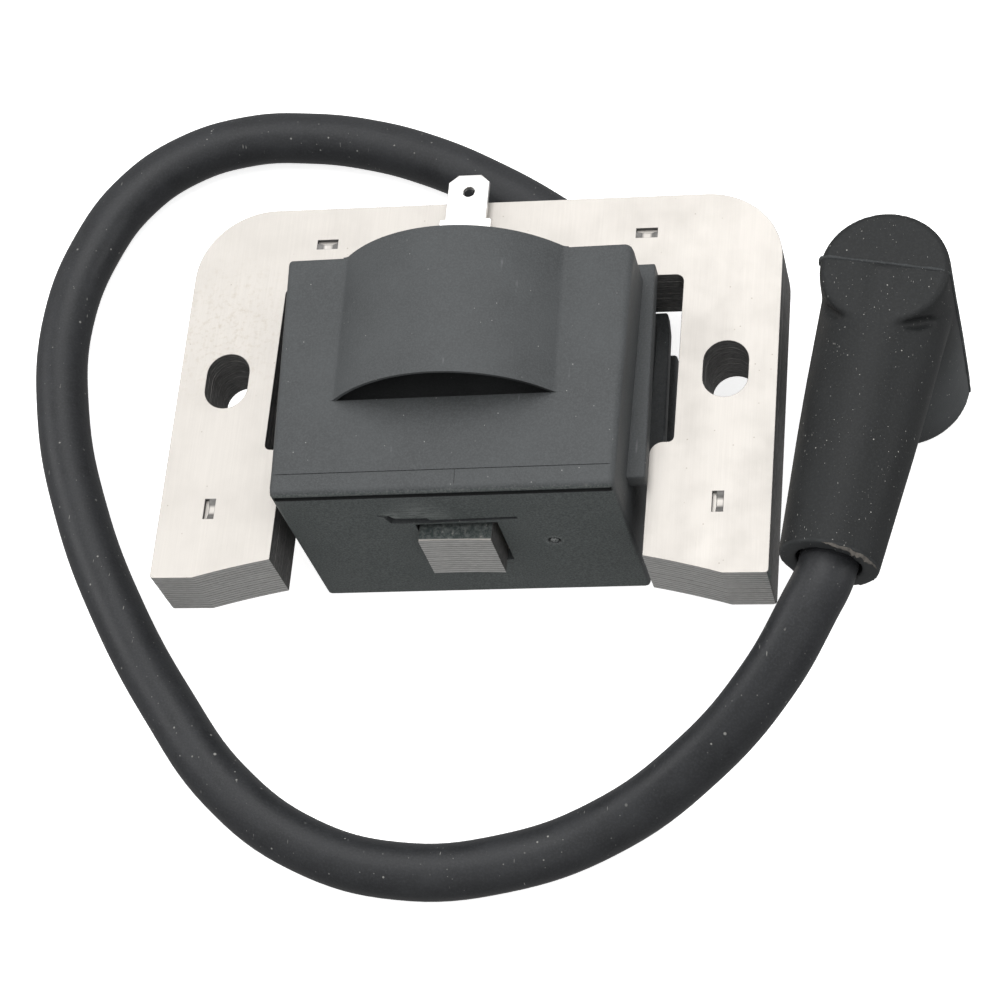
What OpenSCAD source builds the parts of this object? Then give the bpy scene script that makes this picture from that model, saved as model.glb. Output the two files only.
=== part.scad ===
// Flywheel ignition coil module of a small engine: an E-shaped laminated core with
// the coil and its capacitor-discharge circuit potted in a plastic housing on the
// centre leg, a spade terminal for the stop switch, and a high-tension lead that
// ends in a right-angle rubber plug boot.
// X runs along the core's width, Y from the pole feet to the yoke, Z up.
// The origin is midway between the mounting slots, on the core's lower face.

/* [Core] */
// Overall width of the core
core_w = 90; // [86:1:96]
// Distance from the slots' centre line to the yoke's outer edge
yoke_y = 29.8; // [29:0.1:31]
// Depth of the yoke along Y
yoke_d = 13.8; // [12:0.1:14]
// Distance from the slots' centre line down to the flat ends of the feet
foot_y = 32.4; // [31:0.1:34]
// Radius of the yoke's outer corners
corner_r = 11.7; // [8:0.1:13]
// Radius of the flywheel rim that the pole faces follow
pole_r = 138; // [120:1:160]
// Number of laminations
sheets = 16; // [16:1:16]
// Thickness of one lamination
sheet_t = 0.67; // [0.65:0.01:0.67]
// Width of the centre leg
leg_w = 10.7; // [10:0.1:10.8]
// Half width of the windows above the pole shoes
window_x = 30.6; // [29:0.1:31]
// Half distance between the two pole shoes
shoe_x = 27.2; // [27.1:0.1:28]

/* [Mounting slots] */
// Distance between the two slots
slot_pitch = 75; // [74:0.5:76]
// Width of a slot
slot_w = 6.6; // [6:0.1:7]
// Length of a slot along Y
slot_l = 9.2; // [8:0.1:10]

/* [Housing] */
// Width of the housing at its front wall
house_w = 49.4; // [48:0.1:50]
// Width of the housing at its back wall
house_back_w = 51.6; // [50:0.1:52]
// Distance of the front wall's face from the slots' centre line
front_y = 24.8; // [24:0.1:25]
// Distance of the back wall's face from the slots' centre line
back_y = 13.9; // [13.5:0.1:14.5]
// Height of the housing's flat top
top_z = 22.5; // [22:0.1:24]
// Depth of the housing below the core's lower face
under_z = 11; // [11:0.1:12]
// Thickness of the housing's walls
wall = 1.8; // [1.5:0.1:2]
// Radius of the barrel-shaped dome
dome_r = 21.6; // [21:0.1:22]
// Height of the dome's axis
dome_z = 8.2; // [7.8:0.1:8.6]

/* [Terminal] */
// Width of the spade blade
spade_w = 6.3; // [6.2:0.1:6.4]
// Thickness of the spade blade
spade_t = 0.8; // [0.7:0.1:0.9]
// Distance of the blade's tip from the slots' centre line
spade_tip_y = 33.7; // [32:0.1:35]

/* [Lead and boot] */
// Diameter of the high-tension lead
lead_d = 8.2; // [8:0.1:8.2]
// Length of the boot's lead arm from the plug socket's axis
boot_arm = 42; // [42:1:42]
// Overall height of the boot
boot_h = 35; // [34.8:0.1:35.4]
// Radius of the boot round the plug socket
boot_r = 10; // [9.8:0.1:10.4]
// Radius of the plug socket
socket_r = 7; // [6.8:0.1:7.2]

/* [Hidden] */
$fn = 64;

core_t = sheets * sheet_t;
mid_z = core_t / 2;
yoke_in_y = yoke_y - yoke_d;
step_y = -11.7;              // where each leg steps in to its pole shoe
leg_end_y = -26.9;           // end of the centre leg
lance = [3.2, 1.8, 0.3];     // dimple that locks one lamination into the next
lance_at = [[24.6, 23.4, 0], [37.4, -21.3, 90]];
leg_gap = 0.35;              // clearance between the centre leg and what it carries

inner_top_z = top_z - wall;
inner_front_y = -front_y + wall;
inner_back_y = back_y - wall;
dome_x = -0.5;
dome_front_y = -10;
dome_recess = 5.4;
pot_z = -under_z + 0.4;      // level of the potting in the open underside

coil_r = 15.2;               // outer radius of the coil's flanges
coil_back_y = 10.6;
coil_front_y = inner_front_y + 0.1;
split_y = -11.2;             // end of the charge winding's compartment
tube_in = leg_w / 2 + leg_gap;
tube_out = tube_in + 0.9;
second_in_r = 11.4;
second_out_r = 12.4;
chambers = 6;
flange_t = 0.8;
chamber_w = (coil_back_y - split_y - (chambers + 1) * flange_t) / chambers;

board_x = -17.4;
board_t = 1.2;

spade_x = -2.85;
spade_z = 11.9;
riser_y = 11.1;

tower_x = 19;
tower_z = -5.9;
tower_y = 18.5;
lead_start_y = 9;
cup_y = 5;
cup_r = 1.7;
lead_core_r = 1.1;
lead_r = lead_d / 2;
lead_sides = 12;

boot_at = [61, 8];
boot_turn = -10;             // the arm's direction, turned from -Y towards -X
arm_z = 15.2;
arm_r = 9.3;
mouth_r = 6.9;
boot_top_r = 9.1;
socket_l = 20;
clip_z = -under_z + socket_l + 0.3;

// The lead's route from inside the housing to the boot's mouth
route = [[19, 9, -5.9], [19, 18.5, -5.9], [18, 24, -6.5], [13, 31.5, -6.8], [5, 38, -6.8],
         [-5, 44.5, -6.8], [-15, 49.6, -6.8], [-25.5, 53.2, -6.8], [-36, 55, -6.8],
         [-46, 55, -6.8], [-56.5, 51.7, -6.8], [-64.3, 45.3, -6.8], [-69.5, 36, -6.8],
         [-72.5, 22, -6.8], [-70.7, 5, -6.8], [-64.7, -13, -6.8], [-56, -30, -6.8],
         [-46, -45, -6.8], [-35.3, -57.8, -6.8], [-22.3, -66.6, -6.8], [-8, -70.3, -6.8],
         [7, -69, -6.8], [21, -64, -6], [35.3, -56.4, 1.5], [45.4, -47.9, 9.5],
         [51, -39.5, 14], [53.7, -33.4, 15.2]];

// Outer radius of the fine wire in chamber i, less towards the high-tension end
function second_r(i) = 14.5 - 0.15 * i;
function sheet_name(i) = str("lamination_", i < 10 ? "0" : "", i);

// ---- Core ----

// One E-shaped sheet's outline
module sheet_outline() {
    half = core_w / 2;
    difference() {
        union() {
            translate([-half, -foot_y])
                square([core_w, foot_y + yoke_y - corner_r]);
            translate([-half + corner_r, 0])
                square([core_w - 2 * corner_r, yoke_y]);
            for (side = [-1, 1])
                translate([side * (half - corner_r), yoke_y - corner_r])
                    circle(r = corner_r, $fn = 96);
        }
        for (side = [-1, 1])
            mirror([side < 0 ? 1 : 0, 0])
                window_outline();
        for (side = [-1, 1])
            translate([side * slot_pitch / 2, 0])
                slot_outline();
        translate([0, leg_end_y - pole_r])
            circle(r = pole_r, $fn = 360);
    }
}

// The window on the right of the centre leg, with the rounded step at the pole shoe
module window_outline() {
    round_r = 2;
    translate([leg_w / 2, step_y])
        square([window_x - leg_w / 2, yoke_in_y - step_y]);
    translate([leg_w / 2, -foot_y - 5])
        square([shoe_x - leg_w / 2, foot_y + 6 + step_y]);
    translate([shoe_x - 1, step_y - round_r])
        difference() {
            square([1 + round_r, round_r + 0.5]);
            translate([1 + round_r, 0])
                circle(r = round_r);
            translate([1 + round_r, -1])
                square([1, round_r + 3]);
        }
}

module slot_outline() {
    straight = slot_l - slot_w;
    translate([-slot_w / 2, -straight / 2])
        square([slot_w, straight]);
    for (end = [-1, 1])
        translate([0, end * straight / 2])
            circle(d = slot_w);
}

// The four lance marks that lock the stack together, as boxes of a given clearance
module lances(gap) {
    for (side = [-1, 1], place = lance_at)
        translate([side * place[0], place[1], 0])
            rotate([0, 0, place[2]])
                cube([lance[0] - gap, lance[1] - gap, 2 * lance[2]], center = true);
}

// Sheet number i of the stack; the lowest one has no bumps underneath
module lamination(i) {
    color("lightgray")
        translate([0, 0, (i - 1) * sheet_t])
            difference() {
                union() {
                    linear_extrude(sheet_t)
                        sheet_outline();
                    if (i > 1)
                        lances(0.1);
                }
                translate([0, 0, sheet_t])
                    lances(0);
            }
}

// ---- Housing ----

// The housing's outline in plan, moved in by an inset, between two Y positions
function half_width(y) = (house_w + (house_back_w - house_w) * (y + front_y)
                          / (front_y + back_y)) / 2;

module house_plan(inset, y0, y1) {
    polygon([[-half_width(y0) + inset, y0], [half_width(y0) - inset, y0],
             [half_width(y1) - inset, y1], [-half_width(y1) + inset, y1]]);
}

// The upper part of a cylinder along Y, with its axis on the dome's axis
module barrel(r, y0, y1) {
    intersection() {
        translate([dome_x, y0, dome_z])
            rotate([-90, 0, 0])
                cylinder(r = r, h = y1 - y0, $fn = 96);
        translate([-40, y0, dome_z])
            cube([80, y1 - y0, 40]);
    }
}

// Everything inside the walls, open underneath
module cavity(bottom) {
    translate([0, 0, bottom])
        linear_extrude(inner_top_z - bottom)
            house_plan(wall, inner_front_y, inner_back_y);
    barrel(dome_r - wall, dome_front_y + dome_recess + wall, inner_back_y);
}

module leg_opening(y0, y1) {
    translate([-tube_in, y0, mid_z - tube_in])
        cube([2 * tube_in, y1 - y0, 2 * tube_in]);
}

module coil_housing() {
    rib = [3, 2.8];
    ledge = [3.2, 27, 2.4];
    rim = [27.4, 3.5];
    color("dimgray")
        difference() {
            union() {
                translate([0, 0, -under_z])
                    linear_extrude(top_z + under_z)
                        house_plan(0, -front_y, back_y);
                barrel(dome_r, dome_front_y, back_y);
                for (side = [-1, 1]) {
                    translate([side * 25.7 - rib[0] / 2, -19.5, core_t + 0.5])
                        cube([rib[0], yoke_in_y + 19.5, rib[1]]);
                    translate([side * 25.6 - ledge[0] / 2, step_y + 0.5, -0.15 - ledge[2]])
                        cube(ledge);
                }
                translate([-rim[0], -15, -under_z])
                    cube([2 * rim[0], 27.5, rim[1]]);
                translate([tower_x, 11, tower_z])
                    rotate([-90, 0, 0])
                        cylinder(r = 5, h = tower_y - 11);
            }
            cavity(-under_z - 1);
            leg_opening(-front_y - 1, -20);
            leg_opening(10, back_y + 1);
            translate([tower_x, 10, tower_z])
                rotate([-90, 0, 0])
                    cylinder(r = lead_r + 0.05, h = 12);
            barrel_recess();
            spade_terminal();
            ground_pin();
        }
}

// The hollow in the dome's front end
module barrel_recess() {
    difference() {
        barrel(dome_r - 1, dome_front_y - 1, dome_front_y + dome_recess);
        translate([-40, -30, -20])
            cube([80, 50, top_z + 20.4]);
    }
}

module potting_compound() {
    color("darkslategray")
        difference() {
            cavity(pot_z);
            translate([0, inner_front_y - 1, mid_z])
                rotate([-90, 0, 0])
                    cylinder(r = coil_r + 0.05, h = coil_back_y - inner_front_y + 1);
            leg_opening(0, 20);
            translate([tower_x, lead_start_y, tower_z])
                rotate([-90, 0, 0])
                    cylinder(r = lead_r + 0.05, h = 12);
            circuit_board();
            energy_capacitor();
            trigger_capacitor();
            thyristor();
            diodes();
            resistors();
            spade_terminal();
            stop_wire();
            ground_pin();
            high_tension_terminal();
            high_tension_link();
            lead_core_inner_end();
        }
}

// ---- Coil ----

// A solid along Y with a square section and rounded corners
module square_bar(half, r, y0, y1) {
    translate([0, y1, mid_z])
        rotate([90, 0, 0])
            linear_extrude(y1 - y0) {
                square([2 * half, 2 * (half - r)], center = true);
                square([2 * (half - r), 2 * half], center = true);
                for (sx = [-1, 1], sz = [-1, 1])
                    translate([sx * (half - r), sz * (half - r)])
                        circle(r = r);
            }
}

module ring(outer, inner, y0, y1) {
    translate([0, y0, mid_z])
        rotate([-90, 0, 0])
            difference() {
                cylinder(r = outer, h = y1 - y0);
                translate([0, 0, -1])
                    cylinder(r = inner, h = y1 - y0 + 2);
            }
}

module disc(r, y0, y1) {
    translate([0, y0, mid_z])
        rotate([-90, 0, 0])
            cylinder(r = r, h = y1 - y0);
}

module coil_bobbin() {
    color("ivory")
        difference() {
            union() {
                square_bar(tube_out, 1, coil_front_y, coil_back_y);
                disc(15, coil_front_y, coil_front_y + 1);
                disc(15, split_y - 0.8, split_y);
                disc(11, coil_back_y - 0.8, coil_back_y);
            }
            leg_opening(-40, 40);
        }
}

module winding(outer, r, y0, y1) {
    difference() {
        square_bar(outer, r, y0, y1);
        square_bar(tube_out, 1, y0 - 1, y1 + 1);
    }
}

module charge_winding() {
    color("peru")
        winding(11.8, 4, coil_front_y + 1, split_y - 0.8);
}

module primary_winding() {
    color("chocolate")
        winding(8.4, 2, split_y, coil_back_y - 0.8);
}

module secondary_bobbin() {
    color("white")
        difference() {
            union() {
                disc(second_out_r, split_y, coil_back_y);
                for (i = [0:chambers])
                    disc(coil_r, split_y + i * (chamber_w + flange_t),
                         split_y + i * (chamber_w + flange_t) + flange_t);
            }
            disc(second_in_r, split_y - 1, coil_back_y + 1);
        }
}

// One ring of fine wire in each chamber
module secondary_winding() {
    color("sienna")
        for (i = [0:chambers - 1])
            ring(second_r(i), second_out_r,
                 split_y + flange_t + i * (chamber_w + flange_t),
                 split_y + (i + 1) * (chamber_w + flange_t));
}

// ---- Circuit ----

// A round component lying along Z on the board's outer side
module lying_part(r, length, y, z) {
    translate([board_x - r, y, z])
        cylinder(r = r, h = length);
}

module circuit_board() {
    color("darkgreen")
        translate([board_x, -20, -9.5])
            cube([board_t, 32, 28]);
}

module energy_capacitor() {
    color("darkred")
        translate([dome_x - 8, -2.4, inner_top_z + 0.1])
            cube([16, 13.5, 5.1]);
}

module trigger_capacitor() {
    color("goldenrod")
        translate([board_x - 2.5, 4, 13])
            rotate([0, 90, 0])
                cylinder(r = 3.2, h = 2.5);
}

module thyristor() {
    color("black")
        translate([board_x - 3.2, -17, 3])
            cube([3.2, 8, 11]);
}

module diodes() {
    color("black")
        for (y = [-4, 1])
            lying_part(1.3, 5.2, y, 1);
}

module resistors() {
    color("tan")
        for (y = [-16, -11, -6])
            lying_part(1.1, 6.3, y, -7.5);
}

// ---- Terminals ----

module spade_terminal() {
    shoulder_w = 8;
    chamfer = 1.4;
    half = spade_w / 2;
    color("gainsboro")
        difference() {
            union() {
                translate([spade_x, 0, spade_z])
                    linear_extrude(spade_t)
                        polygon([[-shoulder_w / 2, riser_y], [shoulder_w / 2, riser_y],
                                 [shoulder_w / 2, 25.8], [half, 25.8],
                                 [half, spade_tip_y - chamfer],
                                 [half - chamfer, spade_tip_y],
                                 [chamfer - half, spade_tip_y],
                                 [-half, spade_tip_y - chamfer],
                                 [-half, 25.8], [-shoulder_w / 2, 25.8]]);
                translate([spade_x - 2, riser_y, spade_z])
                    cube([4, spade_t, 8.5]);
            }
            translate([spade_x + 0.1, spade_tip_y - 3.1, spade_z - 1])
                cylinder(d = 1.8, h = 3);
        }
}

// Joins the spade terminal's inner leg to the board
module stop_wire() {
    color("red")
        translate([board_x + board_t, riser_y + spade_t / 2, 17.6])
            rotate([0, 90, 0])
                cylinder(r = 0.35, h = spade_x - 2 - board_x - board_t);
}

// Earths the board on the yoke's inner edge
module ground_pin() {
    color("goldenrod")
        translate([board_x + board_t / 2, 12, 5])
            rotate([-90, 0, 0])
                cylinder(r = 0.5, h = yoke_in_y - 12);
}

// Cup crimped on the lead's core
module high_tension_terminal() {
    color("gold")
        translate([tower_x, cup_y, tower_z])
            rotate([-90, 0, 0])
                difference() {
                    cylinder(r = cup_r, h = lead_start_y - cup_y - 0.1);
                    translate([0, 0, 1.5])
                        cylinder(r = lead_core_r, h = 4);
                }
}

// Runs from the last chamber of the secondary winding to the high-tension terminal
module high_tension_link() {
    from = second_r(chambers - 1) + 0.05;
    reach = norm([tower_x, tower_z - mid_z]) - cup_r - 0.05;
    angle = atan2(mid_z - tower_z, tower_x);
    color("peru")
        translate([0, coil_back_y - flange_t - chamber_w / 2, mid_z])
            rotate([0, angle, 0])
                translate([from, 0, 0])
                    rotate([0, 90, 0])
                        cylinder(r = 0.35, h = reach - from);
}

module lead_core_inner_end() {
    color("orange")
        translate([tower_x, cup_y + 1.5, tower_z])
            rotate([-90, 0, 0])
                cylinder(r = lead_core_r, h = lead_start_y - cup_y - 1.5);
}

// ---- Lead ----

// Direction of the route at point i
function way(i) =
    let (a = route[max(i - 1, 0)], b = route[min(i + 1, len(route) - 1)])
    (b - a) / norm(b - a);

// At its last point the lead is square to the boot's mouth
arm_dir = [sin(boot_turn), -cos(boot_turn), 0];
function heading(i) = i == 0 || i == 1 ? [0, 1, 0] : i == len(route) - 1 ? -arm_dir : way(i);

// The points of ring i, all square to the route
function ring_points(i) =
    let (d = heading(i), side = cross(d, [0, 0, 1]) / norm(cross(d, [0, 0, 1])),
         up = cross(side, d))
    [for (k = [0:lead_sides - 1])
        let (a = 360 * k / lead_sides)
        route[i] + lead_r * (cos(a) * side + sin(a) * up)];

module high_tension_lead() {
    n = len(route);
    points = [for (i = [0:n - 1]) each ring_points(i)];
    sides = [for (i = [0:n - 2], k = [0:lead_sides - 1])
        let (a = i * lead_sides + k, b = i * lead_sides + (k + 1) % lead_sides)
        each [[a, b, b + lead_sides], [a, b + lead_sides, a + lead_sides]]];
    first = [for (k = [lead_sides - 1:-1:0]) k];
    last = [for (k = [0:lead_sides - 1]) (n - 1) * lead_sides + k];
    color("#2b2d2e")
        polyhedron(points, concat(sides, [first, last]));
}

// ---- Boot ----

// Places its children with the plug socket's axis as Z at the arm's height, and the
// lead arm along -Y
module at_boot() {
    translate([boot_at[0], boot_at[1], arm_z])
        rotate([0, 0, boot_turn])
            children();
}

// A round bar along the arm between two distances from the socket's axis
module arm_bar(r0, r1, from, to) {
    translate([0, -from, 0])
        rotate([90, 0, 0])
            cylinder(r1 = r0, r2 = r1, h = to - from);
}

module plug_boot() {
    low = -under_z - arm_z;
    color("#1d1f20")
        at_boot()
            difference() {
                union() {
                    translate([0, 0, low])
                        cylinder(r1 = boot_r, r2 = boot_top_r, h = boot_h);
                    arm_bar(arm_r, mouth_r, 0, boot_arm);
                }
                translate([0, 0, low - 1])
                    cylinder(r = socket_r, h = socket_l + 1);
                translate([0, 0, low + socket_l - 0.5])
                    cylinder(r = 4.6, h = 11);
                arm_bar(lead_r + 0.1, lead_r + 0.1, 0, boot_arm + 1);
            }
}

// Spring cup that grips the plug's terminal nut
module plug_clip() {
    color("silver")
        at_boot()
            translate([0, 0, clip_z - arm_z])
                difference() {
                    cylinder(r = 4.5, h = 10);
                    translate([0, 0, -1])
                        cylinder(r = 3.6, h = 9.8);
                    for (a = [45, 135])
                        rotate([0, 0, a])
                            translate([-5, -0.6, -1])
                                cube([10, 1.2, 7]);
                }
}

module clip_spike() {
    color("silver")
        at_boot()
            arm_bar(0.9, 0.9, 4.5, 14);
}

// The last of the lead, held in the boot's arm
module lead_end_sleeve() {
    color("#2b2d2e")
        at_boot()
            difference() {
                arm_bar(lead_r, lead_r, 8, boot_arm);
                arm_bar(lead_core_r, lead_core_r, 7, boot_arm + 1);
            }
}

module lead_core_outer_end() {
    color("orange")
        at_boot()
            arm_bar(lead_core_r, lead_core_r, 14, boot_arm);
}

// ---- Assembly ----

for (i = [1:sheets])
    lamination(i);
coil_housing();
potting_compound();
coil_bobbin();
charge_winding();
primary_winding();
secondary_bobbin();
secondary_winding();
circuit_board();
energy_capacitor();
trigger_capacitor();
thyristor();
diodes();
resistors();
spade_terminal();
stop_wire();
ground_pin();
high_tension_terminal();
high_tension_link();
lead_core_inner_end();
high_tension_lead();
plug_boot();
plug_clip();
clip_spike();
lead_end_sleeve();
lead_core_outer_end();
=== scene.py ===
"""Looks of a flywheel ignition coil: its core, potted housing, spade terminal, lead and boot."""

import random
from math import asin, atan2, cos, degrees, exp, pi, radians, sin, sqrt
import bmesh
import bpy
from mathutils import Matrix, Vector, noise
from mathutils.bvhtree import BVHTree
from mathutils.geometry import interpolate_bezier


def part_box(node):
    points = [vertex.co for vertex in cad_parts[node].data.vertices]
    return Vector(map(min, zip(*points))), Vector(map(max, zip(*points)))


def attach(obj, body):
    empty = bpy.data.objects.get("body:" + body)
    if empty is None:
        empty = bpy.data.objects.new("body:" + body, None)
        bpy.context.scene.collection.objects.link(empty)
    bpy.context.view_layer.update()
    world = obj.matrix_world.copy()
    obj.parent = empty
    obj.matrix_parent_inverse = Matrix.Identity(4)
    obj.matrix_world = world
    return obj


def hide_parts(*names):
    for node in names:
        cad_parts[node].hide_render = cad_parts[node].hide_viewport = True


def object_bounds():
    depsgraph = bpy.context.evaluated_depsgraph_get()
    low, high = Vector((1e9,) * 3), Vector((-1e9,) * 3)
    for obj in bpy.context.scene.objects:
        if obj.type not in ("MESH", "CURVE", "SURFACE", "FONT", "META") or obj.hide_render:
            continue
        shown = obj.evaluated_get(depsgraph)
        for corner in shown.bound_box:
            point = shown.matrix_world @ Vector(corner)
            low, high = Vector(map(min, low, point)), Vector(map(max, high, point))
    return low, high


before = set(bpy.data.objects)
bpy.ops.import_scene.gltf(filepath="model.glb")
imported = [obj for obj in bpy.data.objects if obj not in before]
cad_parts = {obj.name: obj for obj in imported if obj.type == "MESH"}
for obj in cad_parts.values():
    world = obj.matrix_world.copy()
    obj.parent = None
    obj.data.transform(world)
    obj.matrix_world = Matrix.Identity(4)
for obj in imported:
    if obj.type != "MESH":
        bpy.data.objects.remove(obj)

bl_info = {
    "name": "Ignition Coil",
    "version": (1, 0, 0),
    "blender": (4, 5, 0),
    "location": "3D View > Sidebar > Coil",
    "description": "Builds a flywheel ignition coil round its fixed frame",
    "category": "Object",
}

CAD_LOW, CAD_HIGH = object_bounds()
MM = 0.001
SHEETS = sorted(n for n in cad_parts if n.startswith("lamination_"))
CORE_LOW, CORE_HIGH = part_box(SHEETS[0])
CORE_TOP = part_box(SHEETS[-1])[1].z
SHEET_T = (CORE_TOP - CORE_LOW.z) / len(SHEETS)


# ---- Sizes and colours ----

def length(name, description, default):
    return bpy.props.FloatProperty(name=name, description=description, default=default,
                                   min=0.0, unit="LENGTH", precision=5)


def colour(name, description, default):
    return bpy.props.FloatVectorProperty(name=name, description=description,
                                         default=default, min=0.0, max=1.0, size=3,
                                         subtype="COLOR")


def share(name, description, default):
    return bpy.props.FloatProperty(name=name, description=description, default=default,
                                   min=0.0, max=1.0, subtype="FACTOR")


class COIL_PG_core(bpy.types.PropertyGroup):
    """Sizes and colours of the laminated core"""

    corner: length("Corner radius", "Radius of the yoke's outer corners", 11.7 * MM)
    burr: length("Broken edge", "Radius of each sheet's broken edge", 0.06 * MM)
    shift: length("Sheet shift", "How far a sheet may sit off its neighbours", 0.02 * MM)
    face: colour("Face", "Ground face of the outer sheet", (0.60, 0.57, 0.532))
    edge: colour("Edge", "Sheared edges of the sheets", (0.13, 0.128, 0.125))
    pole: colour("Pole", "Ground ends of the three legs", (0.54, 0.536, 0.522))


class COIL_PG_housing(bpy.types.PropertyGroup):
    """Sizes and colours of the potted housing"""

    front_edge: length("Front edge radius", "Rounding of the top's front edge", 0.9 * MM)
    side_edge: length("Side edge radius", "Rounding of the top's side edges", 1.1 * MM)
    dome: length("Dome radius", "Radius of the barrel-shaped dome", 21.6 * MM)
    fillet: length("Dome fillet", "Fillet between the dome and the flat top", 1.3 * MM)
    plastic: colour("Plastic", "Moulded housing", (0.061, 0.065, 0.067))
    resin: colour("Resin", "Potting in the open underside", (0.012, 0.012, 0.013))


class COIL_PG_lead(bpy.types.PropertyGroup):
    """Sizes and colours of the lead and its boot"""

    diameter: length("Lead diameter", "Outside of the high-tension lead", 8.2 * MM)
    seam: length("Seam height", "Radius of the boot's mould seam", 0.23 * MM)
    cover: colour("Lead cover", "Smooth rubber of the lead", (0.022, 0.023, 0.025))
    rubber: colour("Boot rubber", "Moulded rubber of the boot", (0.0145, 0.0155, 0.016))
    dust: share("Dust", "How much pale dust clings to the rubber", 0.5)


class COIL_PG_stage(bpy.types.PropertyGroup):
    """Floor and lights"""

    floor: colour("Floor", "Pale floor", (0.92, 0.92, 0.92))
    sky: share("Sky", "Strength of the light from straight above", 0.9)
    horizon: share("Horizon", "Strength of the light from the sides", 0.35)
    key: bpy.props.FloatProperty(name="Overhead light", description="Power of the overhead softbox",
                                 default=3.2, min=0.0, unit="POWER")
    glow: share("Floor glow", "How far the floor outshines its shadows", 0.8)


# ---- Meshes ----

def add(name, data):
    """A new object in the scene, with this data."""
    obj = bpy.data.objects.new(name, data)
    bpy.context.scene.collection.objects.link(obj)
    return obj


def mesh_object(name, verts, faces):
    """An object from points in millimetres."""
    mesh = bpy.data.meshes.new(name)
    mesh.from_pydata([Vector(v) * MM for v in verts], [], faces)
    mesh.update()
    return add(name, mesh)


def settle(obj):
    """Turns an object's modifiers, or its curve, into its own mesh."""
    graph = bpy.context.evaluated_depsgraph_get()
    mesh = bpy.data.meshes.new_from_object(obj.evaluated_get(graph), depsgraph=graph)
    if obj.type == "MESH":
        old = obj.data
        obj.modifiers.clear()
        obj.data = mesh
        bpy.data.meshes.remove(old)
        return obj
    name = obj.name
    bpy.data.objects.remove(obj)
    return add(name, mesh)


def shade(obj, angle):
    """Smooth shading that breaks at edges sharper than angle, in degrees."""
    obj.data.shade_smooth()
    obj.data.set_sharp_from_angle(angle=radians(angle))
    return obj


def prism(name, outline, low, high, axis="z", rounding=None, segments=3):
    """A prism on an outline in millimetres. rounding gives each edge's radius from its two ends."""
    bm = bmesh.new()

    def point(u, v, w):
        return Vector({"x": (w, u, v), "y": (u, w, v), "z": (u, v, w)}[axis])

    bottom = [bm.verts.new(point(u, v, low)) for u, v in outline]
    top = [bm.verts.new(point(u, v, high)) for u, v in outline]
    n = len(outline)
    bm.faces.new(bottom)
    bm.faces.new(top[::-1])
    for i in range(n):
        j = (i + 1) % n
        bm.faces.new((bottom[j], bottom[i], top[i], top[j]))
    bmesh.ops.recalc_face_normals(bm, faces=bm.faces)
    largest = 0.0
    if rounding:
        layer = bm.edges.layers.float.new("bevel_weight_edge")
        radii = {e: rounding(e.verts[0].co, e.verts[1].co) for e in bm.edges}
        largest = max(radii.values())
        for e, r in radii.items():
            e[layer] = r / largest
    for v in bm.verts:
        v.co *= MM
    mesh = bpy.data.meshes.new(name)
    bm.to_mesh(mesh)
    bm.free()
    obj = add(name, mesh)
    if rounding:
        bevel = obj.modifiers.new("Rounding", "BEVEL")
        bevel.limit_method = "WEIGHT"
        bevel.width = largest * MM
        bevel.segments = segments
        settle(obj)
    return obj


def box(name, low, high, radius=0.0):
    """A box in millimetres with all its edges rounded."""
    outline = [(low[0], low[1]), (high[0], low[1]), (high[0], high[1]), (low[0], high[1])]
    return prism(name, outline, low[2], high[2],
                 rounding=(lambda a, b: radius) if radius else None)


def combine(base, others, operation="UNION"):
    """Joins the others to the base, or cuts them out of it."""
    for other in others:
        step = base.modifiers.new("Step", "BOOLEAN")
        step.object = other
        step.operation = operation
        step.solver = "EXACT"
        settle(base)
        bpy.data.objects.remove(other)
    return base


def ring_faces(start, next_start, sides):
    """The four-sided faces between two rings of points, each given by its first point."""
    return [(start + k, start + (k + 1) % sides, next_start + (k + 1) % sides, next_start + k)
            for k in range(sides)]


def lathe(name, profile, stand, sides):
    """Turns a profile of (distance along Z, radius) in millimetres round Z, then places it."""
    verts, faces = [], []
    for i, (along, radius) in enumerate(profile):
        for k in range(sides):
            a = 2 * pi * k / sides
            verts.append(stand @ Vector((radius * cos(a), radius * sin(a), along)))
        if i:
            faces += ring_faces((i - 1) * sides, i * sides, sides)
    faces.append(tuple(range(sides))[::-1])
    faces.append(tuple((len(profile) - 1) * sides + k for k in range(sides)))
    obj = mesh_object(name, verts, faces)
    bm = bmesh.new()
    bm.from_mesh(obj.data)
    bmesh.ops.recalc_face_normals(bm, faces=bm.faces)
    bm.to_mesh(obj.data)
    bm.free()
    return obj


def arc(cx, cy, r, start, end, steps):
    """Points on an arc, with angles in degrees."""
    return [(cx + r * cos(radians(start + (end - start) * i / steps)),
             cy + r * sin(radians(start + (end - start) * i / steps)))
            for i in range(steps + 1)]


def plate(name, loops, low, high, edge):
    """A flat plate cut to its outer loop and holes, in millimetres, with broken edges."""
    curve = bpy.data.curves.new(name, "CURVE")
    curve.dimensions = "2D"
    curve.fill_mode = "BOTH"
    curve.extrude = ((high - low) / 2 - edge) * MM
    curve.bevel_depth = edge * MM
    curve.bevel_resolution = 1
    curve.offset = -edge * MM
    for loop in loops:
        spline = curve.splines.new("POLY")
        spline.points.add(len(loop) - 1)
        for p, (x, y) in zip(spline.points, loop):
            p.co = (x * MM, y * MM, 0, 1)
        spline.use_cyclic_u = True
    obj = settle(add(name, curve))
    obj.data.transform(Matrix.Translation((0, 0, (low + high) / 2 * MM)))
    return obj


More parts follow.
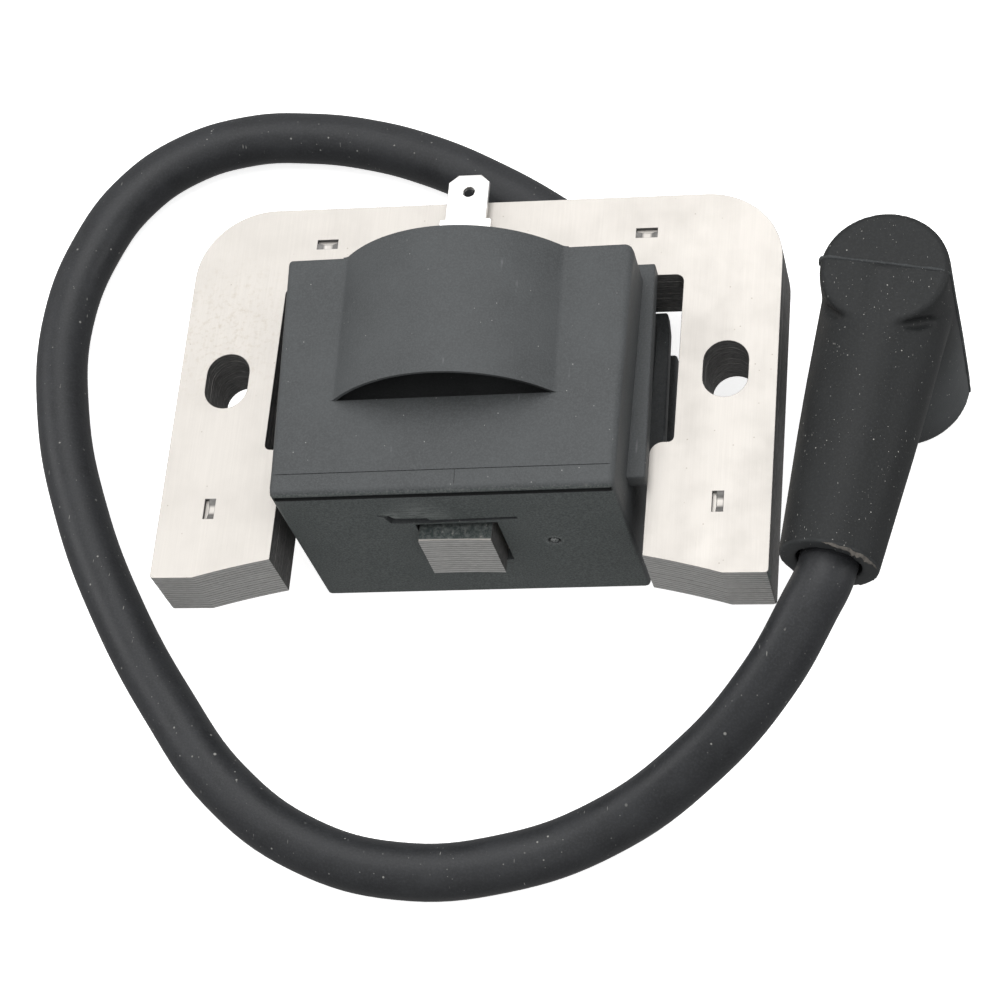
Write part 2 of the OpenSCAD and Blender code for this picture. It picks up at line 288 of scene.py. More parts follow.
def tube(name, radius, resolution, kind, count):
    """A round tube's curve, and its points, still to be placed."""
    curve = bpy.data.curves.new(name, "CURVE")
    curve.dimensions = "3D"
    curve.bevel_depth = radius
    curve.bevel_resolution = resolution
    spline = curve.splines.new(kind)
    points = spline.bezier_points if kind == "BEZIER" else spline.points
    points.add(count - 1)
    return curve, points


def put(obj, body, slot, material, *replaced):
    """Gives a piece its body and material, and says which nodes it stands for. Its record slot is
    not used.
    """
    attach(obj, body)
    if replaced:
        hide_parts(*replaced)
    obj.data.materials.clear()
    obj.data.materials.append(material)
    return obj


# ---- Materials ----

class Finish:
    """A material under construction, with short names for the nodes that it needs."""

    def __init__(self, name, color, roughness, metallic=0.0, specular=0.5):
        self.material = bpy.data.materials.new(name)
        self.material.use_nodes = True
        self.nodes = self.material.node_tree.nodes
        self.links = self.material.node_tree.links
        self.nodes.clear()
        self.shader = self.nodes.new("ShaderNodeBsdfPrincipled")
        output = self.nodes.new("ShaderNodeOutputMaterial")
        self.links.new(self.shader.outputs["BSDF"], output.inputs["Surface"])
        for key, value in (("Base Color", (*color, 1)), ("Roughness", roughness),
                           ("Metallic", metallic), ("Specular IOR Level", specular)):
            self.shader.inputs[key].default_value = value
        self.coordinates = self.nodes.new("ShaderNodeTexCoord")

    def feed(self, socket, value):
        """Links a socket to another one, or sets it to a number or colour."""
        if isinstance(value, bpy.types.NodeSocket):
            self.links.new(value, socket)
        elif socket.type == "RGBA":
            socket.default_value = (*value, 1)
        else:
            socket.default_value = value

    def pattern(self, kind, size, stretch, turn=(0, 0, 0)):
        """A texture node with features of a size in millimetres, stretched along some axes."""
        mapping = self.nodes.new("ShaderNodeMapping")
        mapping.inputs["Scale"].default_value = [1 / (size * MM * s) for s in stretch]
        mapping.inputs["Rotation"].default_value = [radians(a) for a in turn]
        self.links.new(self.coordinates.outputs["Object"], mapping.inputs["Vector"])
        node = self.nodes.new(kind)
        node.inputs["Scale"].default_value = 1.0
        self.links.new(mapping.outputs["Vector"], node.inputs["Vector"])
        return node

    def grain(self, size, stretch=(1, 1, 1), detail=3.0, roughness=0.6):
        """Noise with features of a size in millimetres."""
        node = self.pattern("ShaderNodeTexNoise", size, stretch)
        node.inputs["Detail"].default_value = detail
        node.inputs["Roughness"].default_value = roughness
        return node.outputs["Fac"]

    def specks(self, size, radius, stretch=(1, 1, 1), turn=(0, 0, 0)):
        """1 inside scattered specks of a radius, as a share of their spacing in millimetres."""
        node = self.pattern("ShaderNodeTexVoronoi", size, stretch, turn)
        return self.band(node.outputs["Distance"], radius, radius * 0.6)

    def band(self, value, low, high, to_low=0.0, to_high=1.0):
        """Maps low..high to to_low..to_high and holds it beyond."""
        node = self.nodes.new("ShaderNodeMapRange")
        for key, v in (("Value", value), ("From Min", low), ("From Max", high),
                       ("To Min", to_low), ("To Max", to_high)):
            self.feed(node.inputs[key], v)
        return node.outputs["Result"]

    def below(self, value, full, none):
        """1 up to one value, falling to 0 at a higher one."""
        return self.band(value, full, none, 1.0, 0.0)

    def calc(self, operation, a, b=0.0, clamp=False):
        node = self.nodes.new("ShaderNodeMath")
        node.operation = operation
        node.use_clamp = clamp
        self.feed(node.inputs[0], a)
        self.feed(node.inputs[1], b)
        return node.outputs["Value"]

    def both(self, first, *others):
        """The product of masks: 1 only where each of them is 1."""
        for other in others:
            first = self.calc("MULTIPLY", first, other)
        return first

    def mix(self, factor, a, b):
        node = self.nodes.new("ShaderNodeMix")
        node.data_type = "RGBA"
        self.feed(node.inputs["Factor"], factor)
        self.feed(node.inputs["A"], a)
        self.feed(node.inputs["B"], b)
        return node.outputs["Result"]

    def lay(self, under, mask, strength, color):
        """A colour laid over another through a mask."""
        return self.mix(self.both(mask, strength), under, color)

    def part_of(self, coordinate, axis):
        split = self.nodes.new("ShaderNodeSeparateXYZ")
        self.links.new(self.coordinates.outputs[coordinate], split.inputs["Vector"])
        return split.outputs[axis]

    def facing(self, axis):
        """How squarely the surface faces up or down an axis of the part, 0 to 1."""
        return self.calc("ABSOLUTE", self.part_of("Normal", axis))

    def place(self, axis):
        """The distance along an axis of the part, in millimetres."""
        return self.calc("DIVIDE", self.part_of("Object", axis), MM)

    def against(self, operation, vector):
        """The place of the surface measured against a vector."""
        node = self.nodes.new("ShaderNodeVectorMath")
        node.operation = operation
        self.links.new(self.coordinates.outputs["Object"], node.inputs[0])
        node.inputs[1].default_value = vector
        return node.outputs["Value"]

    def near(self, centre, radius):
        """1 at a point given in millimetres, falling to 0 at a radius."""
        away = self.against("DISTANCE", [c * MM for c in centre])
        return self.below(away, 0.0, radius * MM)

    def past(self, way, low, high):
        """0 before one distance along a direction and 1 past another, in millimetres."""
        return self.band(self.against("DOT_PRODUCT", way), low * MM, high * MM)

    def bump(self, height, distance, strength):
        """Relief from a height, over a distance in millimetres."""
        node = self.nodes.new("ShaderNodeBump")
        node.inputs["Strength"].default_value = strength
        node.inputs["Distance"].default_value = distance * MM
        self.feed(node.inputs["Height"], height)
        self.links.new(node.outputs["Normal"], self.shader.inputs["Normal"])

    def done(self, color, roughness=None):
        """Feeds the shader its colour and roughness, and gives the material."""
        self.feed(self.shader.inputs["Base Color"], color)
        if roughness is not None:
            self.feed(self.shader.inputs["Roughness"], roughness)
        return self.material


def scaled(color, k):
    return tuple(min(1.0, c * k) for c in color)


PIT = (0.30, 0.25, 0.20)
OIL_STAIN = (0.40, 0.34, 0.26)
RUST = (0.14, 0.07, 0.04)
PAINT_MARK = (0.06, 0.20, 0.20)
# Greenish patina for the centre leg's end, painted darker as a reflection of the dark housing wall
DARK_PATINA_AND_REFLECTION, PALE_PATINA_AND_REFLECTION = (0.06, 0.075, 0.072), (0.19, 0.205, 0.2)
RUBBED = (0.22, 0.22, 0.23)
LINT = (0.45, 0.45, 0.43)
# Tones of the front wall, painted lighter than the rest of the housing as painted light on the
# front face
LIT_WALL_HOLLOW, LIT_WALL_GRIT = (0.062, 0.073, 0.071), (0.135, 0.148, 0.146)
CHIPPED = (0.28, 0.30, 0.29)
WORN = (0.22, 0.22, 0.215)
# Painted highlight round the pin mark
PIN_HIGHLIGHT = (0.34, 0.35, 0.345)
SHADE = (0.004, 0.004, 0.004)
DUST = (0.80, 0.79, 0.74)
RESIN_BUBBLE = (0.10, 0.10, 0.10)

STAINED_SPOT = (-39.0, 9.0, 11.3)
MARKED_SPOT = (42.6, -32.4, 9.2)
# Middle of a patch of painted light on the boot's upright
LIT_SIDE_SPOT = (68, 6, -4)


def core_steel(sizes):
    """Ground sheet faces with a fine grain along Y, dull sheared edges and bright pole faces."""
    f = Finish("core_steel", sizes.face, 0.46, 0.45)
    flat = f.band(f.facing("Z"), 0.9, 0.99)
    along = f.place("Y")
    stains = f.band(f.grain(7, detail=5), 0.42, 0.75)
    grinding = f.grain(0.25, stretch=(1, 40, 1), detail=2)
    face = f.mix(f.band(grinding, 0.2, 0.8), scaled(sizes.face, 0.965), scaled(sizes.face, 1.035))
    face = f.lay(face, stains, 0.3, scaled(sizes.face, 0.86))
    face = f.lay(face, f.specks(2.2, 0.06), 0.6, PIT)
    oiled = f.both(f.near(STAINED_SPOT, 15.0),
                   f.band(f.grain(0.9, detail=4, roughness=0.7), 0.5, 0.75))
    face = f.lay(face, oiled, 0.7, OIL_STAIN)

    shear = f.grain(0.35, stretch=(3, 3, 0.5), detail=4)
    edge = f.mix(f.band(shear, 0.3, 0.75), scaled(sizes.edge, 0.55), scaled(sizes.edge, 1.8))
    layers = f.grain(0.67, stretch=(60, 60, 1), detail=1)
    edge = f.mix(f.band(layers, 0.35, 0.65, 0.0, 0.2), edge, scaled(sizes.edge, 0.6))
    rust = f.band(f.grain(1.4, stretch=(2, 2, 0.6), detail=5), 0.66, 0.76)
    edge = f.lay(edge, rust, 0.5, RUST)
    mark = f.both(f.near(MARKED_SPOT, 3.2), f.band(shear, 0.3, 0.5))
    edge = f.lay(edge, mark, 0.8, PAINT_MARK)

    pole = f.mix(f.band(shear, 0.3, 0.75), scaled(sizes.pole, 0.8), scaled(sizes.pole, 1.3))
    sheet = f.calc("FRACT", f.calc("DIVIDE", f.place("Z"), SHEET_T / MM))
    joint = f.band(f.calc("ABSOLUTE", f.calc("SUBTRACT", sheet, 0.5)), 0.34, 0.44)
    joint = f.both(joint, f.band(shear, 0.3, 0.6, 0.35, 0.8))
    pole = f.mix(joint, pole, scaled(sizes.pole, 0.25))
    at_front = f.both(f.below(along, -25.0, -24.0), f.band(f.facing("Y"), 0.85, 0.95))
    edge = f.mix(at_front, edge, pole)

    # The centre leg's end gets a greenish patina, painted darker as a reflection of the dark
    # housing wall behind it.
    tip = f.both(f.below(f.calc("ABSOLUTE", f.place("X")), 5.9, 6.1),
                 f.below(along, -21.0, -20.0), f.band(along, -26.75, -26.6),
                 f.band(shear, 0.2, 0.4))
    patina_and_reflection = f.mix(f.band(f.grain(0.5, detail=4), 0.4, 0.7), DARK_PATINA_AND_REFLECTION, PALE_PATINA_AND_REFLECTION)
    face = f.mix(tip, face, patina_and_reflection)
    f.bump(f.calc("ADD", grinding, f.both(shear, 0.6)), 0.02, 0.5)
    rough = f.calc("ADD", f.band(flat, 0, 1, 0.56, 0.44), f.band(stains, 0, 1, 0, 0.12))
    return f.done(f.mix(flat, edge, face), rough)


def moulded_plastic(sizes):
    """Fine spark-eroded texture with a little dust, rub marks, chips and worn spots, and painted
    light: a lighter front wall, shade in the dome's pocket and the front groove, and highlights
    round the pin mark.
    """
    f = Finish("housing_plastic", sizes.plastic, 0.55, 0.0, 0.3)
    along, height = f.place("Y"), f.place("Z")
    upright = f.facing("Y")
    front = f.below(along, -20.0, -19.9)
    texture = f.grain(0.28, detail=2, roughness=0.7)
    clouds = f.band(f.grain(9, detail=3), 0.35, 0.7)
    body = f.mix(clouds, scaled(sizes.plastic, 0.88), scaled(sizes.plastic, 1.12))
    body = f.mix(f.band(texture, 0.4, 0.68, 0.0, 0.45), body, scaled(sizes.plastic, 1.6))
    rubs = f.both(f.specks(7.5, 0.1, stretch=(0.25, 2.2, 1), turn=(0, 0, 12)),
                  f.band(f.grain(5), 0.5, 0.6))
    body = f.lay(body, rubs, 0.35, RUBBED)
    body = f.lay(body, f.both(f.specks(1.6, 0.06), f.band(f.grain(11), 0.42, 0.56)), 0.7, LINT)

    # The front wall gets its own lighter, greener tones: painted light on the front face.
    wall = f.both(f.band(upright, 0.7, 0.9), f.below(along, -24.0, -23.9))
    body = f.mix(wall, body, f.mix(f.band(texture, 0.35, 0.7), LIT_WALL_HOLLOW, LIT_WALL_GRIT))
    streaks = f.band(f.grain(0.3, stretch=(10, 1, 1), detail=2), 0.4, 0.6)
    chipped = f.calc("MAXIMUM", f.near((-8.2, FRONT_Y, 14.3), 2.4),
                     f.both(f.near((-4.5, FRONT_Y, 14.2), 5.5), 0.7))
    chipped = f.both(chipped, f.band(height, 13.4, 13.6))
    body = f.mix(f.both(chipped, streaks), body, CHIPPED)
    worn = f.both(f.band(height, 21.6, 21.8), f.band(upright, 0.45, 0.75), front,
                  f.band(f.grain(0.4, detail=4), 0.5, 0.64))
    body = f.lay(body, worn, 0.35, WORN)

    sunk = f.calc("MAXIMUM", f.below(height, 22.42, 22.46), f.band(upright, 0.8, 0.9))
    pocket = f.both(f.band(along, -9.9, -9.8), f.below(along, -4.2, -4.0),
                    f.below(f.calc("ABSOLUTE", f.place("X")), 21.2, 21.4), sunk)
    groove = f.both(f.below(height, 21.5, 21.6), f.band(height, 20.4, 20.5), front,
                    f.below(f.facing("X"), 0.5, 0.7))
    body = f.lay(body, f.calc("MAXIMUM", pocket, groove), 0.65, SHADE)
    # Painted highlights: light spots round the pin mark.
    pin = f.both(f.near((PIN_X, -24.6, PIN_Z), 1.7), f.band(f.grain(0.3), 0.45, 0.6))
    body = f.lay(body, pin, 1.2, PIN_HIGHLIGHT)
    f.bump(f.calc("ADD", texture, f.both(clouds, 0.4)), 0.07, 0.8)
    return f.done(body, f.band(clouds, 0, 1, 0.5, 0.62))


def potting_resin(sizes):
    """Glossy black resin with slow ripples."""
    f = Finish("potting_resin", sizes.resin, 0.2)
    f.bump(f.grain(6, detail=2), 0.25, 0.6)
    return f.done(f.mix(f.specks(3.3, 0.07), sizes.resin, RESIN_BUBBLE),
                  f.band(f.grain(3), 0.3, 0.7, 0.12, 0.32))


def rubber(name, color, gloss, dust_share, spacing, specular=0.3, pale_mouth_and_lit_side=False):
    """Moulded rubber with pale dust and small hairs; on the boot it is paler at the mouth's end and
    has a patch of painted light on the upright.
    """
    f = Finish(name, color, gloss, 0.0, specular)
    skin = f.grain(0.35, detail=3, roughness=0.7)
    patches = f.band(f.grain(6, detail=3), 0.35, 0.7)
    body = f.mix(patches, scaled(color, 0.85), scaled(color, 1.2))
    body = f.mix(f.band(skin, 0.45, 0.7, 0.0, 0.5), body, scaled(color, 1.9))
    if pale_mouth_and_lit_side:
        mouth = ARM_WAY.dot((BOOT_X, BOOT_Y, 0)) + ARM_LENGTH
        body = f.lay(body, f.past(ARM_WAY, mouth - 0.5, mouth - 0.2), 0.7, scaled(color, 3.2))
        # Painted light: a paler patch on the side of the upright that faces the right-hand lamp.
        body = f.lay(body, f.near(LIT_SIDE_SPOT, 17), 1.5, scaled(color, 4.0))
    dust = f.calc("MAXIMUM", f.specks(spacing, 0.07),
                  f.specks(spacing * 1.7, 0.06, turn=(40, 20, 0)))
    dust = f.calc("MAXIMUM", dust, f.both(f.specks(spacing * 0.55, 0.08, turn=(10, 70, 0)), 0.5))
    hairs = f.both(f.specks(spacing * 1.9, 0.09, stretch=(0.15, 1, 1), turn=(0, 0, 35)),
                   f.band(f.grain(4), 0.5, 0.6))
    dust = f.both(f.calc("MAXIMUM", dust, hairs), f.band(f.grain(8), 0.36, 0.52))
    f.bump(skin, 0.05, 0.6)
    rough = f.calc("ADD", f.band(patches, 0, 1, gloss - 0.05, gloss + 0.07), f.both(dust, 0.3),
                   clamp=True)
    return f.done(f.lay(body, dust, dust_share, DUST), rough)


def bright_metal(name, color, roughness):
    """Plated or drawn metal with fine scratches."""
    f = Finish(name, color, roughness, 1.0)
    dull = f.band(f.grain(2.5, detail=3), 0.4, 0.7)
    f.bump(f.grain(0.2, stretch=(1, 14, 1), detail=3), 0.02, 0.4)
    return f.done(f.mix(dull, color, scaled(color, 0.82)),
                  f.band(dull, 0, 1, roughness, roughness + 0.15))


def wound_wire(name, color):
    """Enamelled wire laid in even turns along Y."""
    wire_pitch = 0.4 * MM
    f = Finish(name, color, 0.3, 0.6)
    wave = f.nodes.new("ShaderNodeTexWave")
    wave.bands_direction = "Y"
    wave.inputs["Scale"].default_value = 1 / wire_pitch / 6.28
    wave.inputs["Distortion"].default_value = 0.6
    f.links.new(f.coordinates.outputs["Object"], wave.inputs["Vector"])
    f.bump(wave.outputs["Fac"], 0.1, 0.8)
    return f.done(f.mix(wave.outputs["Fac"], scaled(color, 0.55), color))


def plain_part(name, color, roughness, spread=0.15, size=1.5):
    """Small moulded or coated part with mild variation."""
    f = Finish(name, color, roughness)
    shift = f.band(f.grain(size, detail=3), 0.3, 0.7)
    f.bump(f.grain(size / 4), 0.03, 0.3)
    return f.done(f.mix(shift, scaled(color, 1 - spread), scaled(color, 1 + spread)),
                  f.band(shift, 0, 1, roughness - 0.06, roughness + 0.08))


# ---- Lead ----

ROUTE = [(19, 9, -5.9), (19, 18.5, -5.9), (18, 24, -6.5), (13, 31.5, -6.8), (5, 38, -6.8),
         (-5, 44.5, -6.8), (-15, 49.6, -6.8), (-25.5, 53.2, -6.8), (-36, 55, -6.8),
         (-46, 55, -6.8), (-56.5, 51.7, -6.8), (-64.3, 45.3, -6.8), (-69.5, 36, -6.8),
         (-72.5, 22, -6.8), (-70.7, 5, -6.8), (-64.7, -13, -6.8), (-56, -30, -6.8),
         (-46, -45, -6.8), (-35.3, -57.8, -6.8), (-22.3, -66.6, -6.8), (-8, -70.3, -6.8),
         (7, -69, -6.8), (21, -64, -6), (35.3, -56.4, 1.5), (45.4, -47.9, 9.5),
         (51, -39.5, 14), (53.7, -33.4, 15.2)]
TOWER_X, TOWER_Z = 19.0, -5.9

BOOT_X, BOOT_Y, ARM_Z = 61.0, 8.0, 15.2
BOOT_TURN = radians(-10)
ARM_LENGTH = 42.0
ARM_WAY = Vector((sin(BOOT_TURN), -cos(BOOT_TURN), 0))


class COIL_OT_lead(bpy.types.Operator):
    """Make the high-tension lead along its route"""

    bl_idname = "coil.lead"
    bl_label = "High-tension lead"

    def execute(self, context):
        sizes = context.scene.coil_lead
        curve, points = tube("lead", sizes.diameter / 2, 8, "BEZIER", len(ROUTE))
        curve.resolution_u = 8
        curve.use_fill_caps = True
        for p, place in zip(points, ROUTE):
            p.co = Vector(place) * MM
            p.handle_left_type = p.handle_right_type = "AUTO"
        end = points[-1]
        end.handle_left_type = end.handle_right_type = "FREE"
        reach = ARM_WAY * 2.5 * MM
        end.handle_left, end.handle_right = end.co + reach, end.co - reach
        lead = add("lead", curve)
        context.view_layer.update()
        for a, b in zip(points, points[1:]):
            interpolate_bezier(a.co, a.handle_right, b.handle_left, b.co, 9)[:-1]
        lead = shade(settle(lead), 50)
        put(lead, "module", "lead_rubber",
            rubber("lead_rubber", sizes.cover, 0.42, sizes.dust * 0.6, 2.6),
            "high_tension_lead")
        return {"FINISHED"}


# ---- Core ----

def mirrored(points):
    """The same points on the other side of the part, in the order that continues them."""
    return [(-x, y) for x, y in reversed(points)]


FLYWHEEL_R = 138.0
LEG_HALF, LEG_END = 5.35, -26.9
FOOT_INNER = 27.2
SLOT_X, SLOT_R, SLOT_STRAIGHT = 37.5, 3.3, 1.3


def sheet_outline(sizes):
    """One E-shaped sheet, from the middle of the yoke round both legs, in millimetres."""
    half = CORE_HIGH.x / MM
    yoke, foot = CORE_HIGH.y / MM, CORE_LOW.y / MM
    corner = sizes.corner / MM
    centre_y = LEG_END - FLYWHEEL_R

    def pole(x):
        return centre_y + sqrt(FLYWHEEL_R * FLYWHEEL_R - x * x)

    toe = sqrt(FLYWHEEL_R * FLYWHEEL_R - (foot - centre_y) ** 2)

    def side(window):
        points = arc(half - corner, yoke - corner, corner, 90, 0, 24)
        points += arc(half - 0.5, foot + 0.5, 0.5, 0, -90, 3)
        across = [toe + (FOOT_INNER - toe) * i / 10 for i in range(11)]
        points += [(x, pole(x)) for x in across]
        points += arc(FOOT_INNER + 2.0, -13.7, 2.0, 180, 90, 8)
        points += arc(window - 0.8, -10.9, 0.8, -90, 0, 4)
        points += arc(window - 1.2, 14.8, 1.2, 0, 90, 6)
        points += arc(LEG_HALF + 0.6, 15.4, 0.6, 90, 180, 3)
        return points + [(x, pole(x)) for x in (LEG_HALF * i / 4 for i in (4, 3, 2, 1))]

    return side(30.6) + [(0, pole(0))] + mirrored(side(30.2))


def slot_loop(x):
    return (arc(x, SLOT_STRAIGHT, SLOT_R, 0, 180, 20)
            + arc(x, -SLOT_STRAIGHT, SLOT_R, 180, 360, 20))


LANCES = [(24.6, 23.4, 0), (-24.6, 23.4, 0), (37.4, -21.3, 90), (-37.4, -21.3, 90)]
LANCE_LONG, LANCE_WIDE = 1.6, 0.8


def lance_point(lance, u, v):
    """A point of a lance mark, given along and across it from its middle."""
    x, y, turn = lance
    a = radians(turn)
    return x + u * cos(a) - v * sin(a), y + u * sin(a) + v * cos(a)


def lance_loop(lance):
    return [lance_point(lance, u * LANCE_LONG, v * LANCE_WIDE)
            for u, v in ((-1, -1), (1, -1), (1, 1), (-1, 1))]


def lance_trough(name, lance, top):
    """The pressed tongue in a lance mark: its ends slope down and one side stands off the sheet."""
    verts, faces = [], []
    steps, floor = 12, top - 0.62
    for i in range(steps + 1):
        u = -1 + 2 * i / steps
        lip = top - 0.5 * min(1.0, (1 - abs(u)) / 0.7)
        for v, z in ((-0.8, floor), (-0.8, lip), (-0.7, lip + 0.02), (0.15, lip),
                     (0.25, lip - 0.1), (0.25, floor)):
            verts.append((*lance_point(lance, LANCE_LONG * u, v), z))
    for i in range(steps):
        faces += ring_faces(i * 6, (i + 1) * 6, 6)
    faces.append((0, 1, 2, 3, 4, 5))
    faces.append(tuple(steps * 6 + k for k in (5, 4, 3, 2, 1, 0)))
    return mesh_object(name, verts, faces)


class COIL_OT_core(bpy.types.Operator):
    """Make the stack of laminations, sheet by sheet"""

    bl_idname = "coil.core"
    bl_label = "Laminated core"

    def execute(self, context):
        sizes = context.scene.coil_core
        steel = core_steel(sizes)
        outline = sheet_outline(sizes)
        chance = random.Random(7)
        top = len(SHEETS) - 1
        t = SHEET_T / MM
        for i, node in enumerate(SHEETS):
            loops = [outline, slot_loop(-SLOT_X), slot_loop(SLOT_X)]
            if i == top:
                loops += [lance_loop(lance) for lance in LANCES]
            sheet = plate(node.replace("lamination", "core_sheet"), loops, i * t, (i + 1) * t,
                          sizes.burr / MM)
            off = sizes.shift if 0 < i < top else 0.0
            sheet.data.transform(Matrix.Translation((chance.uniform(-off, off),
                                                     chance.uniform(-off, off), 0)))
            shade(sheet, 20)
            if i == top:
                for k, lance in enumerate(LANCES):
                    tongue = lance_trough(f"lance_{k + 1}", lance, (i + 1) * t)
                    shade(tongue, 20)
                    put(tongue, "module", "core_steel", steel)
            put(sheet, "module", "core_steel", steel, node)
        return {"FINISHED"}


# ---- Housing ----

FRONT_Y, BACK_Y, TOP_Z, UNDER_Z = -24.8, 13.9, 22.5, -11.0
FRONT_X, BACK_X = 24.7, 25.8
WALL = 1.8
POUR_GAP = 0.05
DOME_X, DOME_Z, DOME_FRONT = -0.5, 8.2, -10.0
PIN_X, PIN_Z = 13.3, 5.5
SEAT_TURN = Matrix.Rotation(radians(1), 4, "Z")
HOUSING_SEAT = (Matrix.Translation((-0.0003, -0.005, 0)) @ SEAT_TURN
                @ Matrix.Translation((0, 0.005, 0)))


def barrel_outline(radius, fillet, floor):
    """The dome's section: up from the floor, round the fillets and over the arc."""
    if fillet:
        rise = TOP_Z + fillet - DOME_Z
        reach = sqrt((radius + fillet) ** 2 - rise ** 2)
        tilt = degrees(atan2(rise, reach))
        right = arc(DOME_X + reach, TOP_Z + fillet, fillet, 270, 180 + tilt, 5)
        over = arc(DOME_X, DOME_Z, radius, tilt, 180 - tilt, 64)[1:-1]
        left = [(2 * DOME_X - x, z) for x, z in reversed(right)]
        side = DOME_X + reach
        return [(side, floor)] + right + over + left + [(2 * DOME_X - side, floor)]
    tilt = degrees(asin((floor - DOME_Z) / radius))
    return arc(DOME_X, DOME_Z, radius, tilt, 180 - tilt, 64)


def along_y(x, z):
    """Lays a lathed piece along Y at a place in millimetres."""
    return Matrix.Translation((x, 0, z)) @ Matrix.Rotation(radians(-90), 4, "X")


def turned(name, radius, y0, y1, x, z, sides):
    """A round bar along Y."""
    return lathe(name, [(y0, radius), (y1, radius)], along_y(x, z), sides)


class COIL_OT_housing(bpy.types.Operator):
    """Mould the housing with its dome, ribs, rim and lead tower"""

    bl_idname = "coil.housing"
    bl_label = "Housing"

    def execute(self, context):
        sizes = context.scene.coil_housing
        front, side = sizes.front_edge / MM, sizes.side_edge / MM

        def rounding(a, b):
            top = a.z > 20 and b.z > 20
            if abs(a.z - b.z) > 20:
                back = a.y > 0
                return (1.4 if a.x > 0 else 0.5) if back else 0.8
            if not top:
                return 0.5
            if a.y < -20 and b.y < -20:
                return front
            if a.y > 10 and b.y > 10:
                return 0.4
            return side

        plan = [(-FRONT_X, FRONT_Y), (FRONT_X, FRONT_Y), (BACK_X, BACK_Y), (-BACK_X, BACK_Y)]
        body = prism("housing", plan, UNDER_Z, TOP_Z, rounding=rounding, segments=4)
        dome = prism("dome", barrel_outline(sizes.dome / MM, sizes.fillet / MM, TOP_Z - 1.2),
                     DOME_FRONT, BACK_Y - 0.01, axis="y",
                     rounding=lambda a, b: (0.55 if a.y < 0 and b.y < 0 else 0.25)
                     if abs(a.y - b.y) < 1 and max(a.z, b.z) > TOP_Z + 0.5 else 0.0)
        added = [dome]
        ledge = [(24.0, -11.2), (27.6, -11.2), (27.6, 12.6), (27.2, 15.6), (24.0, 15.6)]
        for s in (-1, 1):
            low, high = sorted((s * 23.5, s * 27.5))
            added.append(box("rib", (low, -19.5, 11.25), (high, 15.6, 14.0), 0.35))
            added.append(prism("ledge", [(s * x, y) for x, y in ledge], -2.55, -0.15,
                               rounding=lambda a, b: 0.35))
            low, high = sorted((s * 22.0, s * 27.7))
            added.append(box("rim", (low, -15.0, UNDER_Z), (high, 12.5, -7.5), 0.5))
        added.append(lathe("tower", [(11.5, 5), (18.1, 5), (18.4, 4.9), (18.5, 4.7)],
                           along_y(TOWER_X, TOWER_Z), 48))
        combine(body, added)
        inner = [(-FRONT_X + WALL, FRONT_Y + WALL), (FRONT_X - WALL, FRONT_Y + WALL),
                 (BACK_X - WALL, BACK_Y - WALL), (-BACK_X + WALL, BACK_Y - WALL)]
        cuts = [prism("cavity", inner, UNDER_Z - 1, TOP_Z - WALL),
                prism("dome_pocket", barrel_outline(sizes.dome / MM - 0.45, 0, TOP_Z - 0.9),
                      DOME_FRONT - 0.02, -4.6, axis="y"),
                box("groove", (-FRONT_X + 0.5, FRONT_Y - 1, 20.5),
                    (FRONT_X - 0.5, FRONT_Y + 0.8, 21.5)),
                box("gate_mark", (2.1, FRONT_Y + 0.9, TOP_Z - 0.1),
                    (2.22, FRONT_Y + 3.2, TOP_Z + 1)),
                box("leg_opening", (-5.75, -30, -0.42), (6.25, -22, 11.9)),
                box("yoke_opening", (-5.2, 11, -0.35), (6.4, 16, 11.07)),
                turned("tower_bore", 4.15, 10.5, 20, TOWER_X, TOWER_Z, 48),
                box("parting", (-30, -21.66, TOP_Z - 0.14), (30, -21.52, TOP_Z + 1)),
                box("blade_slot", (-7.1, 11.5, 11.8), (1.4, 15, 12.8)),
                prism("patch", [(-10.8, 15.0), (-9.2, 13.8), (-8.6, 13.1), (-3.2, 13.0),
                                (-3.8, 14.0), (-7.0, 14.6), (-8.6, 15.3)],
                      FRONT_Y - 1, FRONT_Y + 0.3, axis="y"),
                prism("tear", [(-9.8, 14.1), (-9.1, 12.4), (-4.6, 12.25), (9.4, 12.8),
                               (9.3, 13.5), (-3.0, 13.1), (-8.4, 13.25), (-9.2, 14.3)],
                      FRONT_Y - 1, FRONT_Y + 1.0, axis="y"),
                turned("pin_mark", 1.0, FRONT_Y - 1, FRONT_Y + 0.7, PIN_X, PIN_Z, 20)]
        combine(body, cuts, "DIFFERENCE")
        combine(body, [turned("pin", 0.6, FRONT_Y + 0.05, FRONT_Y + 0.9, PIN_X, PIN_Z, 16)])
        body.data.transform(HOUSING_SEAT)
        shade(body, 30)
        put(body, "module", "housing_plastic", moulded_plastic(sizes), "coil_housing")
        return {"FINISHED"}


